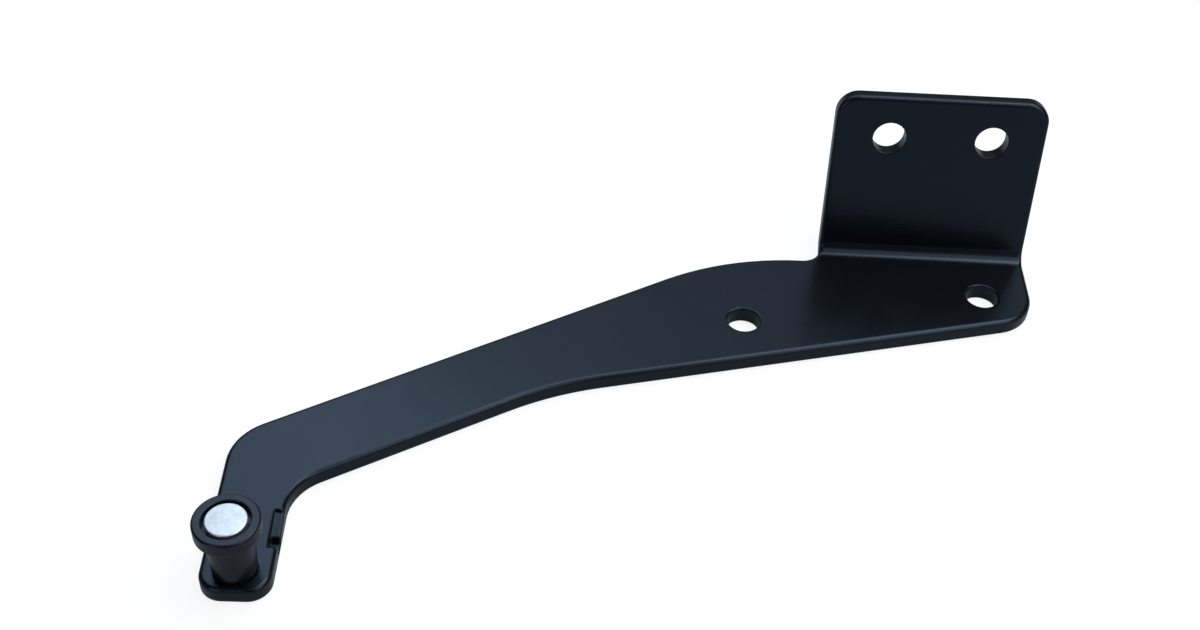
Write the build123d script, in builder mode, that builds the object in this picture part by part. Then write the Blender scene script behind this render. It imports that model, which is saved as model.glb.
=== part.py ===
from build123d import *
import math
import os

# A sliding door roller guide: a stamped steel bracket with an upturned flange, and a roller riveted
# to the end of its arm. Millimetres. The origin is on the axis of the right plate hole, at the
# plate's underside. +X runs along the bend to the right, +Y back to the flange, +Z up.

# Sheet
sheet = 4.5
top_edge_round = 1.1
bottom_edge_round = 0.8
bend_inner_radius = 3.5
hole_diameter = 9.0

# Flange, square to Y apart from its lean back
flange_left = -43.45
flange_width = 56.8
flange_height = 47.3
flange_lean = 10.75
flange_corner_radius = 6.0
bend_corner_y = 16.25
flange_hole_spacing = 27.5
flange_hole_offset = 0.25
flange_hole_height = 35.5

# Plate below the flange
second_hole_x = -65.65
second_hole_y = -14.0
front_edge_distance = 10.8
front_edge_angle = 14.65
front_corner_radius = 11.5
shoulder_setback = 4.2
shoulder_radius = 5.0
shoulder_flat = 0.3

# Arm, elbow and foot
arm_angle = 31.5
arm_width = 21.5
arm_front_radius = 85.0
elbow_outer_radius = 14.0
elbow_inner_radius = 13.0
foot_width = 16.6
foot_offset = 0.25
foot_lean = 1.5
foot_length = 32.8
foot_end_distance = 6.65
foot_end_flat = 5.7

# Roller's place in plan
axle_x = -183.3
axle_y = -103.8

# Coined pocket in the foot's right edge: a shallow ramp, then a pit towards the foot's end
pocket_start_distance = 17.0
pocket_inset = 2.4
pocket_ramp_length = 7.0
pocket_start_depth = 0.7
pocket_ramp_depth = 1.5
pocket_pit_length = 4.0
pocket_pit_depth = 3.2
pocket_pit_slope = 0.8

# Rivet pin through the foot, with its tail set flush into a countersink
pin_radius = 3.0
pin_clearance = 0.02
pin_head_radius = 4.75
pin_head_rim = 1.8
pin_head_dome = 0.15
pin_head_edge = 0.3
pin_tail_radius = 4.4
pin_tail_depth = 1.4

# Thrust washer on the foot, and the spacer sleeve clamped between it and the pin's head
washer_radius = 4.9
washer_thickness = 0.5
washer_clearance = 0.1
sleeve_wall = 0.8

# Roller on the sleeve
roller_bore_clearance = 0.05
roller_end_play = 0.1
roller_web = 14.2
roller_base_radius = 5.25
roller_neck_radius = 5.6
roller_neck_height = 10.5
roller_rim_radius = 7.65
roller_rim_thickness = 3.6
roller_recess_radius = 5.5
roller_recess_depth = 1.85
roller_base_edge = 0.3
roller_neck_fillet = 0.8
roller_rim_edge = 0.5
roller_recess_edge = 0.25

# Clear length by which cutting tools pass the material
cut_margin = 5.0


def direction(degrees):
    """Unit vector in plan at this angle from +X."""
    return Vector(math.cos(math.radians(degrees)), math.sin(math.radians(degrees)))


def meet(point_a, angle_a, point_b, angle_b):
    """Where two lines in plan cross, each given by a point and an angle."""
    along_a = direction(angle_a)
    across_b = direction(angle_b + 90)
    return point_a + along_a * ((point_b - point_a).dot(across_b) / along_a.dot(across_b))


def dome_radius(edge_radius, height):
    """Radius of the sphere over a round head of this edge radius and dome height."""
    return (edge_radius**2 + height**2) / (2 * height)


def single_edges(faces):
    """The edges that only one of the faces has, which are the outline of the faces together."""
    edges = faces.edges()
    return ShapeList([edge for edge in edges if sum(edge.is_same(other) for other in edges) == 1])


# Lines of the outline in plan
flange_right = flange_left + flange_width
flange_middle = flange_left + flange_width / 2
flange_reach = bend_corner_y + flange_height + cut_margin
shoulder_point = Vector(flange_left, bend_corner_y - shoulder_setback)
front_edge_point = direction(front_edge_angle - 90) * front_edge_distance
axle_point = Vector(axle_x, axle_y)
foot_angle = foot_lean - 90
elbow_point = axle_point - direction(foot_angle) * foot_length
arm_front_point = elbow_point + direction(arm_angle - 90) * (arm_width / 2)
arm_back_point = elbow_point + direction(arm_angle + 90) * (arm_width / 2)
foot_left_point = axle_point + direction(foot_angle - 90) * (foot_width / 2 - foot_offset)
foot_right_point = axle_point + direction(foot_angle + 90) * (foot_width / 2 + foot_offset)
foot_end_point = axle_point + direction(foot_angle) * foot_end_distance
foot_end_radius = (foot_width - foot_end_flat) / 2

# The long curve from the shoulder into the arm starts right beside the shoulder's fillet
sweep_corner = meet(shoulder_point, 0, arm_back_point, arm_angle)
sweep_tangent = shoulder_point.X - sweep_corner.X - shoulder_radius - shoulder_flat
sweep_radius = sweep_tangent / math.tan(math.radians(arm_angle / 2))

outline_points = [
    Vector(flange_left, flange_reach),
    shoulder_point,
    sweep_corner,
    meet(arm_back_point, arm_angle, foot_left_point, foot_angle),
    meet(foot_left_point, foot_angle, foot_end_point, foot_lean),
    meet(foot_right_point, foot_angle, foot_end_point, foot_lean),
    meet(arm_front_point, arm_angle, foot_right_point, foot_angle),
    meet(arm_front_point, arm_angle, front_edge_point, front_edge_angle),
    meet(front_edge_point, front_edge_angle, Vector(flange_right, 0), 90),
    Vector(flange_right, flange_reach),
]
outline_radii = [
    shoulder_radius,
    sweep_radius,
    elbow_outer_radius,
    foot_end_radius,
    foot_end_radius,
    elbow_inner_radius,
    arm_front_radius,
    front_corner_radius,
]

# The flange's front face: local x runs along the bend, local y up the face
lean = math.radians(flange_lean)
flange_up = Vector(0, math.sin(lean), math.cos(lean))
flange_back = Vector(0, math.cos(lean), -math.sin(lean))
flange_front = Plane(
    origin=(flange_middle, bend_corner_y, sheet), x_dir=(1, 0, 0), z_dir=tuple(flange_back * -1)
)
flange_top = Vector(0, bend_corner_y, sheet) + flange_up * flange_height

# The pocket's inner wall: local x runs towards the foot's end, local y up
pocket_corner = foot_right_point - direction(foot_angle) * pocket_start_distance
pocket_origin = pocket_corner + direction(foot_angle - 90) * pocket_inset
pocket_wall = Plane(
    origin=(pocket_origin.X, pocket_origin.Y, sheet),
    x_dir=tuple(direction(foot_angle)),
    z_dir=tuple(direction(foot_angle - 90)),
)

# The foot's top at the pin, and the half plane in which the turned pieces are drawn
foot_top = Plane(origin=(axle_x, axle_y, sheet))
axle_section = Plane(origin=(axle_x, axle_y, sheet), x_dir=(1, 0, 0), z_dir=(0, -1, 0))
axle_axis = Axis((axle_x, axle_y, 0), (0, 0, 1))

# Heights above the foot, from the washer up
roller_base = washer_thickness + roller_end_play
roller_top = roller_base + roller_web + roller_recess_depth
head_seat = roller_base + roller_web + roller_end_play
sleeve_length = head_seat - washer_thickness
sleeve_radius = pin_radius + pin_clearance + sleeve_wall
roller_bore_radius = sleeve_radius + roller_bore_clearance

with BuildPart() as arm_bracket:
    # The bent sheet, seen along the bend, as wide as the whole plate
    with BuildSketch(Plane.YZ.offset(axle_x - arm_width)) as bent_section:
        with BuildLine():
            FilletPolyline(
                (axle_y - arm_width, sheet),
                (bend_corner_y, sheet),
                (flange_top.Y, flange_top.Z),
                radius=bend_inner_radius,
            )
            offset(amount=sheet, side=Side.RIGHT)
        make_face()
    extrude(amount=flange_right - axle_x + arm_width + cut_margin)
    # Only what lies inside the outline in plan stays
    with BuildSketch(Plane.XY.offset(-cut_margin)) as outline:
        with BuildLine():
            edge_line = FilletPolyline(*outline_points, radius=outline_radii)
            Line(edge_line @ 1, edge_line @ 0)
        make_face()
    extrude(amount=flange_reach + cut_margin, mode=Mode.INTERSECT)
    # Rounded top corners of the flange
    top_corners = arm_bracket.edges().filter_by(Axis((0, 0, 0), tuple(flange_back)))
    fillet(top_corners.sort_by(Axis.Z)[-2:], flange_corner_radius)
    # The sheet's upper and lower skin, each with a flat face, a face of the bend and a flange face
    flat_skins = arm_bracket.faces().filter_by(Axis.Z).sort_by(Axis.Z)
    flange_skins = arm_bracket.faces().filter_by(Axis((0, 0, 0), tuple(flange_back))).sort_by(Axis.Y)
    round_faces = arm_bracket.faces().filter_by(GeomType.CYLINDER)
    bend_faces = round_faces.filter_by(lambda face: abs(face.axis_of_rotation.direction.X) > 0.9)
    bend_skins = bend_faces.sort_by(SortBy.RADIUS)
    upper_outline = single_edges(flat_skins[-1:] + bend_skins[:1] + flange_skins[:1])
    lower_outline = single_edges(flat_skins[:1] + bend_skins[-1:] + flange_skins[-1:])
    fillet(lower_outline, bottom_edge_round)
    fillet(upper_outline, top_edge_round)
    # Screw holes in the plate
    with BuildSketch(Plane.XY) as plate_holes:
        with Locations((0, 0), (second_hole_x, second_hole_y)):
            Circle(hole_diameter / 2)
    extrude(amount=sheet, mode=Mode.SUBTRACT)
    # Hole for the rivet pin in the foot, countersunk from below
    with BuildSketch(axle_section) as pin_hole_half:
        with BuildLine():
            Polyline(
                (0, -sheet),
                (pin_tail_radius + pin_clearance, -sheet),
                (pin_radius + pin_clearance, pin_tail_depth - sheet),
                (pin_radius + pin_clearance, 0),
                (0, 0),
                close=True,
            )
        make_face()
    revolve(axis=axle_axis, mode=Mode.SUBTRACT)
    # Screw holes in the flange
    with BuildSketch(flange_front) as flange_holes:
        with Locations((flange_hole_offset, flange_hole_height)):
            with GridLocations(flange_hole_spacing, 0, 2, 1):
                Circle(hole_diameter / 2)
    extrude(amount=-sheet, mode=Mode.SUBTRACT)
    # Coined pocket in the right edge of the foot
    with BuildSketch(pocket_wall) as pocket_section:
        with BuildLine():
            Polyline(
                (0, cut_margin),
                (0, -pocket_start_depth),
                (pocket_ramp_length, -pocket_ramp_depth),
                (pocket_ramp_length + pocket_pit_slope, -pocket_pit_depth),
                (pocket_ramp_length + pocket_pit_length, -pocket_pit_depth),
                (pocket_ramp_length + pocket_pit_length, cut_margin),
                close=True,
            )
        make_face()
    extrude(amount=-pocket_inset - cut_margin, mode=Mode.SUBTRACT)

with BuildPart() as thrust_washer:
    with BuildSketch(foot_top) as washer_ring:
        Circle(washer_radius)
        Circle(pin_radius + washer_clearance, mode=Mode.SUBTRACT)
    extrude(amount=washer_thickness)

with BuildPart() as spacer_sleeve:
    with BuildSketch(foot_top.offset(washer_thickness)) as sleeve_ring:
        Circle(sleeve_radius)
        Circle(pin_radius + pin_clearance, mode=Mode.SUBTRACT)
    extrude(amount=sleeve_length)

with BuildPart() as rivet_pin:
    with BuildSketch(axle_section) as pin_half:
        with BuildLine():
            head_rim = Vector(pin_head_radius, head_seat + pin_head_rim)
            head_crown = Vector(0, head_seat + pin_head_rim + pin_head_dome)
            RadiusArc(head_crown, head_rim, dome_radius(pin_head_radius, pin_head_dome))
            Polyline(
                head_rim,
                (pin_head_radius, head_seat),
                (pin_radius, head_seat),
                (pin_radius, pin_tail_depth - sheet),
                (pin_tail_radius, -sheet),
                (0, -sheet),
                head_crown,
            )
        make_face()
    revolve(axis=axle_axis)
    closed_edges = rivet_pin.edges().filter_by(lambda edge: edge.is_closed)
    fillet(closed_edges.sort_by(Axis.Z)[-1], pin_head_edge)

with BuildPart() as roller:
    with BuildSketch(axle_section) as roller_half:
        with BuildLine():
            FilletPolyline(
                (roller_bore_radius, roller_base),
                (roller_base_radius, roller_base),
                (roller_neck_radius, roller_base + roller_neck_height),
                (roller_rim_radius, roller_top - roller_rim_thickness),
                (roller_rim_radius, roller_top),
                (roller_recess_radius, roller_top),
                (roller_recess_radius, roller_top - roller_recess_depth),
                (roller_bore_radius, roller_top - roller_recess_depth),
                radius=[
                    0,
                    roller_base_edge,
                    roller_neck_fillet,
                    roller_rim_edge,
                    roller_rim_edge,
                    roller_recess_edge,
                    0,
                    0,
                ],
                close=True,
            )
        make_face()
    revolve(axis=axle_axis)

finished = {
    "arm_bracket": arm_bracket,
    "thrust_washer": thrust_washer,
    "spacer_sleeve": spacer_sleeve,
    "rivet_pin": rivet_pin,
    "roller": roller,
}
os.makedirs("parts", exist_ok=True)
for name, piece in finished.items():
    piece.part.label = name
    export_step(piece.part, f"parts/{name}.step")
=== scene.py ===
import math

import bpy
from mathutils import Matrix, Vector


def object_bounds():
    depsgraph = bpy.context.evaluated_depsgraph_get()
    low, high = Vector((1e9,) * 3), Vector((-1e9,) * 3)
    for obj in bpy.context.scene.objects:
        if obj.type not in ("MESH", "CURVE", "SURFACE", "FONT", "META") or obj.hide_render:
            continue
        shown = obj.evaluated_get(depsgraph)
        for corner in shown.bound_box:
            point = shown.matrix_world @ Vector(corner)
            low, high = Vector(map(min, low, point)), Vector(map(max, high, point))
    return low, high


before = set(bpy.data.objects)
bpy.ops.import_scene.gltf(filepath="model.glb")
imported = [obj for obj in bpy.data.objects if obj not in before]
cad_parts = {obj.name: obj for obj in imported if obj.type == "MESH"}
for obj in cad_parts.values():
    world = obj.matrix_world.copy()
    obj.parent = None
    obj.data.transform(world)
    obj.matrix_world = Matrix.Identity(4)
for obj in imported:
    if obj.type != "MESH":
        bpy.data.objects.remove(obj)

CAD_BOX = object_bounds()

# The photograph's camera, in the part's own frame
IMAGE_WIDTH = 1200
FOCAL_PIXELS = 1581.9
SENSOR_WIDTH = 36.0
CAMERA_PLACE = Vector((-0.10358, -0.32294, 0.29194))
CAMERA_AZIMUTH = math.radians(-0.073)
CAMERA_ELEVATION = math.radians(43.012)
CAMERA_ROLL = math.radians(2.73)
CLIP_NEAR = 0.01
CLIP_FAR = 20.0

# Softboxes, in the cool tone of the photograph
KEY_COLOUR = (0.97, 0.98, 1.0)
BACK_COLOUR = (0.74, 0.87, 1.0)
LAMP_AIM = Vector((-0.09, -0.04, 0.01))
LAMP_DISTANCE = 0.9
LAMP_SIZE = 0.45

# Room and floor: what the camera sees of the floor is nearly white, and what reflections
# see of the room and the floor is dim, as in the photograph
ROOM_COLOUR = (0.78, 0.90, 1.0)
ROOM_STRENGTH = 0.1
ROOM_SEEN_COLOUR = (0.8, 0.8, 0.8)
FLOOR_COLOUR = (0.25, 0.25, 0.25)
FLOOR_SEEN_COLOUR = (1.0, 1.0, 1.0)
FLOOR_SEEN = 0.85
FLOOR_MIRRORED = 0.19
FLOOR_HALF_SIZE = 3.0
FLOOR_GAP = 0.0001

# Materials: texture scales per metre, heights and edge radii in metres. Noise stays near
# the middle of its range, and TEXTURE_SPAN is the part of it that colours and roughness use.
PAINT_MOTTLE_SCALE = 90.0
PAINT_PEEL_SCALE = 900.0
PAINT_PEEL_HEIGHT = 0.00005
PAINT_SPECKLE_SCALE = 2400.0
PAINT_SPECKLE_HEIGHT = 0.00006
PAINT_EDGE_RADIUS = 0.0009
PLASTIC_GRAIN_SCALE = 2500.0
PLASTIC_GRAIN_HEIGHT = 0.00002
PLASTIC_EDGE_RADIUS = 0.0004
ZINC_MOTTLE_SCALE = 1200.0
ZINC_MOTTLE_HEIGHT = 0.00004
TEXTURE_SPAN = (0.3, 0.7)
BEVEL_SAMPLES = 8
SPECULAR_LEVEL = 0.52
PAINT_SPECULAR_TINT = (0.57, 0.74, 1.0)
PLASTIC_SPECULAR_TINT = (0.70, 0.79, 1.0)


def make_camera():
    """The camera at the photograph's viewing angle."""
    data = bpy.data.cameras.new("photo_camera")
    data.sensor_width = SENSOR_WIDTH
    data.lens = FOCAL_PIXELS / IMAGE_WIDTH * SENSOR_WIDTH
    data.clip_start = CLIP_NEAR
    data.clip_end = CLIP_FAR
    camera = bpy.data.objects.new("photo_camera", data)
    bpy.context.scene.collection.objects.link(camera)
    across = math.cos(CAMERA_ELEVATION)
    looks_along = Vector(
        (
            math.sin(CAMERA_AZIMUTH) * across,
            math.cos(CAMERA_AZIMUTH) * across,
            -math.sin(CAMERA_ELEVATION),
        )
    )
    upright = looks_along.to_track_quat("-Z", "Y").to_matrix()
    turn = upright @ Matrix.Rotation(CAMERA_ROLL, 3, "Z")
    camera.matrix_world = Matrix.Translation(CAMERA_PLACE) @ turn.to_4x4()
    bpy.context.scene.camera = camera


def opaque(colour):
    """The colour with the alpha that a node's socket takes."""
    return (*colour, 1.0)


def new_material(name):
    """A node material that holds only a Principled shader and an output."""
    material = bpy.data.materials.new(name)
    material.use_nodes = True
    tree = material.node_tree
    tree.nodes.clear()
    shader = tree.nodes.new("ShaderNodeBsdfPrincipled")
    output = tree.nodes.new("ShaderNodeOutputMaterial")
    tree.links.new(shader.outputs["BSDF"], output.inputs["Surface"])
    return material, tree, shader


def noise(tree, scale, detail=3.0, roughness=0.5):
    """A noise texture in the piece's own coordinates, at a scale per metre."""
    place = tree.nodes.new("ShaderNodeTexCoord")
    texture = tree.nodes.new("ShaderNodeTexNoise")
    texture.inputs["Scale"].default_value = scale
    texture.inputs["Detail"].default_value = detail
    texture.inputs["Roughness"].default_value = roughness
    tree.links.new(place.outputs["Object"], texture.inputs["Vector"])
    return texture.outputs["Fac"]


def ramp(tree, value, low, high):
    """A colour between two, that follows a texture's value."""
    node = tree.nodes.new("ShaderNodeValToRGB")
    for stop, position, colour in zip(node.color_ramp.elements, TEXTURE_SPAN, (low, high)):
        stop.position = position
        stop.color = opaque(colour)
    tree.links.new(value, node.inputs["Fac"])
    return node.outputs["Color"]


def span(tree, value, low, high):
    """A number between two, that follows a texture's value."""
    node = tree.nodes.new("ShaderNodeMapRange")
    node.inputs["From Min"].default_value = TEXTURE_SPAN[0]
    node.inputs["From Max"].default_value = TEXTURE_SPAN[1]
    node.inputs["To Min"].default_value = low
    node.inputs["To Max"].default_value = high
    tree.links.new(value, node.inputs["Value"])
    return node.outputs["Result"]


def soft_edges(tree, radius):
    """A shading normal that rounds the edges over this radius."""
    node = tree.nodes.new("ShaderNodeBevel")
    node.samples = BEVEL_SAMPLES
    node.inputs["Radius"].default_value = radius
    return node.outputs["Normal"]


def bump(tree, height, distance, strength, under=None):
    """A shading normal bumped by a height, on top of the normal under it."""
    node = tree.nodes.new("ShaderNodeBump")
    node.inputs["Distance"].default_value = distance
    node.inputs["Strength"].default_value = strength
    tree.links.new(height, node.inputs["Height"])
    if under is not None:
        tree.links.new(under, node.inputs["Normal"])
    return node.outputs["Normal"]


def black_paint():
    """Black dip paint: dark slate, semi-gloss, with a faint ripple."""
    material, tree, shader = new_material("black_paint")
    mottle = noise(tree, PAINT_MOTTLE_SCALE, detail=4.0)
    peel = noise(tree, PAINT_PEEL_SCALE, detail=2.0)
    speckle = noise(tree, PAINT_SPECKLE_SCALE, roughness=0.6)
    colour = ramp(tree, mottle, low=(0.0018, 0.0024, 0.0034), high=(0.0028, 0.0036, 0.0050))
    roughness = span(tree, mottle, low=0.19, high=0.23)
    rounded = soft_edges(tree, PAINT_EDGE_RADIUS)
    rippled = bump(tree, peel, PAINT_PEEL_HEIGHT, strength=0.15, under=rounded)
    speckled = bump(tree, speckle, PAINT_SPECKLE_HEIGHT, strength=0.5, under=rippled)
    tree.links.new(colour, shader.inputs["Base Color"])
    tree.links.new(roughness, shader.inputs["Roughness"])
    tree.links.new(speckled, shader.inputs["Normal"])
    shader.inputs["Specular IOR Level"].default_value = SPECULAR_LEVEL
    shader.inputs["Specular Tint"].default_value = opaque(PAINT_SPECULAR_TINT)
    return material


def black_plastic():
    """Moulded black plastic, satin."""
    material, tree, shader = new_material("black_plastic")
    grain = noise(tree, PLASTIC_GRAIN_SCALE, detail=2.0)
    colour = ramp(tree, grain, low=(0.0012, 0.0018, 0.0050), high=(0.0022, 0.0032, 0.0080))
    roughness = span(tree, grain, low=0.24, high=0.30)
    rounded = soft_edges(tree, PLASTIC_EDGE_RADIUS)
    grained = bump(tree, grain, PLASTIC_GRAIN_HEIGHT, strength=0.1, under=rounded)
    tree.links.new(colour, shader.inputs["Base Color"])
    tree.links.new(roughness, shader.inputs["Roughness"])
    tree.links.new(grained, shader.inputs["Normal"])
    shader.inputs["Specular IOR Level"].default_value = SPECULAR_LEVEL
    shader.inputs["Specular Tint"].default_value = opaque(PLASTIC_SPECULAR_TINT)
    return material


def zinc_steel():
    """Zinc-plated steel, pale and mottled."""
    material, tree, shader = new_material("zinc_steel")
    mottle = noise(tree, ZINC_MOTTLE_SCALE, detail=5.0, roughness=0.6)
    colour = ramp(tree, mottle, low=(0.75, 0.81, 0.86), high=(0.87, 0.93, 0.97))
    roughness = span(tree, mottle, low=0.55, high=0.42)
    mottled = bump(tree, mottle, ZINC_MOTTLE_HEIGHT, strength=0.3)
    tree.links.new(colour, shader.inputs["Base Color"])
    tree.links.new(roughness, shader.inputs["Roughness"])
    tree.links.new(mottled, shader.inputs["Normal"])
    shader.inputs["Metallic"].default_value = 1.0
    return material


def glow_for(tree, rays, colour, strength):
    """A glow that only the given kind of rays sees."""
    factor = tree.nodes.new("ShaderNodeMath")
    factor.operation = "MULTIPLY"
    factor.inputs[1].default_value = strength
    tree.links.new(rays, factor.inputs[0])
    glow = tree.nodes.new("ShaderNodeEmission")
    glow.inputs["Color"].default_value = opaque(colour)
    tree.links.new(factor.outputs[0], glow.inputs["Strength"])
    return glow.outputs[0]


def added(tree, first, second):
    """Two shaders added up."""
    node = tree.nodes.new("ShaderNodeAddShader")
    tree.links.new(first, node.inputs[0])
    tree.links.new(second, node.inputs[1])
    return node.outputs[0]


def pale_floor():
    """A matt floor that the camera sees as nearly white, and reflections as a faint glow."""
    material = bpy.data.materials.new("pale_floor")
    material.use_nodes = True
    tree = material.node_tree
    tree.nodes.clear()
    path = tree.nodes.new("ShaderNodeLightPath")
    mirrored = tree.nodes.new("ShaderNodeMath")
    mirrored.operation = "MAXIMUM"
    tree.links.new(path.outputs["Is Glossy Ray"], mirrored.inputs[0])
    tree.links.new(path.outputs["Is Transmission Ray"], mirrored.inputs[1])
    seen_glow = glow_for(tree, path.outputs["Is Camera Ray"], FLOOR_SEEN_COLOUR, FLOOR_SEEN)
    mirrored_glow = glow_for(tree, mirrored.outputs[0], ROOM_COLOUR, FLOOR_MIRRORED)
    matt = tree.nodes.new("ShaderNodeBsdfDiffuse")
    matt.inputs["Color"].default_value = opaque(FLOOR_COLOUR)
    surface = added(tree, added(tree, seen_glow, mirrored_glow), matt.outputs[0])
    output = tree.nodes.new("ShaderNodeOutputMaterial")
    tree.links.new(surface, output.inputs["Surface"])
    return material


def make_floor():
    """A plain pale floor, just below the plate's underside."""
    half = FLOOR_HALF_SIZE
    mesh = bpy.data.meshes.new("floor")
    corners = [(-half, -half, 0), (half, -half, 0), (half, half, 0), (-half, half, 0)]
    mesh.from_pydata(corners, [], [(0, 1, 2, 3)])
    floor = bpy.data.objects.new("floor", mesh)
    floor.location.z = CAD_BOX[0].z - FLOOR_GAP
    bpy.context.scene.collection.objects.link(floor)
    mesh.materials.append(pale_floor())


def make_world():
    """A pale grey for the camera, and a faint even light for everything else."""
    world = bpy.data.worlds.new("studio")
    bpy.context.scene.world = world
    world.use_nodes = True
    tree = world.node_tree
    tree.nodes.clear()
    path = tree.nodes.new("ShaderNodeLightPath")
    soft = tree.nodes.new("ShaderNodeBackground")
    soft.inputs["Color"].default_value = opaque(ROOM_COLOUR)
    soft.inputs["Strength"].default_value = ROOM_STRENGTH
    seen = tree.nodes.new("ShaderNodeBackground")
    seen.inputs["Color"].default_value = opaque(ROOM_SEEN_COLOUR)
    seen.inputs["Strength"].default_value = 1.0
    mix = tree.nodes.new("ShaderNodeMixShader")
    tree.links.new(path.outputs["Is Camera Ray"], mix.inputs["Fac"])
    tree.links.new(soft.outputs[0], mix.inputs[1])
    tree.links.new(seen.outputs[0], mix.inputs[2])
    output = tree.nodes.new("ShaderNodeOutputWorld")
    tree.links.new(mix.outputs[0], output.inputs["Surface"])


def soft_light(name, azimuth, elevation, level, colour):
    """A softbox that faces the part.

    The azimuth runs from the back to the right. Both angles are in degrees, and the level
    is the light that the softbox sheds on the part.
    """
    data = bpy.data.lights.new(name, "AREA")
    data.shape = "RECTANGLE"
    data.size = LAMP_SIZE
    data.size_y = LAMP_SIZE
    data.energy = math.pi * LAMP_DISTANCE**2 * level
    data.color = colour
    turn = math.radians(azimuth)
    rise = math.radians(elevation)
    across = math.cos(rise)
    away = Vector((math.sin(turn) * across, math.cos(turn) * across, math.sin(rise)))
    light = bpy.data.objects.new(name, data)
    light.location = LAMP_AIM + away * LAMP_DISTANCE
    light.rotation_euler = away.to_track_quat("Z", "Y").to_euler()
    bpy.context.scene.collection.objects.link(light)


def make_lamps():
    """Softboxes over the part, and two low ones that light it in the views from behind."""
    soft_light("front_softbox", azimuth=120, elevation=42, level=0.42, colour=KEY_COLOUR)
    soft_light("near_front_softbox", azimuth=160, elevation=60, level=0.1, colour=KEY_COLOUR)
    soft_light("front_top_softbox", azimuth=135, elevation=62, level=0.12, colour=KEY_COLOUR)
    soft_light("right_softbox", azimuth=80, elevation=58, level=0.64, colour=KEY_COLOUR)
    soft_light("right_top_softbox", azimuth=45, elevation=65, level=0.43, colour=KEY_COLOUR)
    soft_light("overhead_softbox", azimuth=0, elevation=78, level=0.27, colour=KEY_COLOUR)
    soft_light("back_top_softbox", azimuth=0, elevation=62, level=0.24, colour=BACK_COLOUR)
    soft_light("left_softbox", azimuth=-35, elevation=50, level=0.28, colour=BACK_COLOUR)
    soft_light("back_left_softbox", azimuth=-20, elevation=43, level=0.165, colour=BACK_COLOUR)
    soft_light("back_softbox", azimuth=15, elevation=36, level=0.11, colour=BACK_COLOUR)
    soft_light("low_front_softbox", azimuth=135, elevation=20, level=0.25, colour=KEY_COLOUR)
    soft_light("low_left_softbox", azimuth=215, elevation=22, level=0.25, colour=KEY_COLOUR)


def dress(node, material):
    """Gives a CAD node its finished material."""
    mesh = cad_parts[node].data
    mesh.materials.clear()
    mesh.materials.append(material)


make_camera()
make_world()
make_floor()
make_lamps()

paint = black_paint()
plastic = black_plastic()
zinc = zinc_steel()
dress("arm_bracket", paint)
dress("roller", plastic)
dress("rivet_pin", zinc)
dress("thrust_washer", plastic)
dress("spacer_sleeve", zinc)

bpy.context.scene.view_settings.view_transform = "Standard"
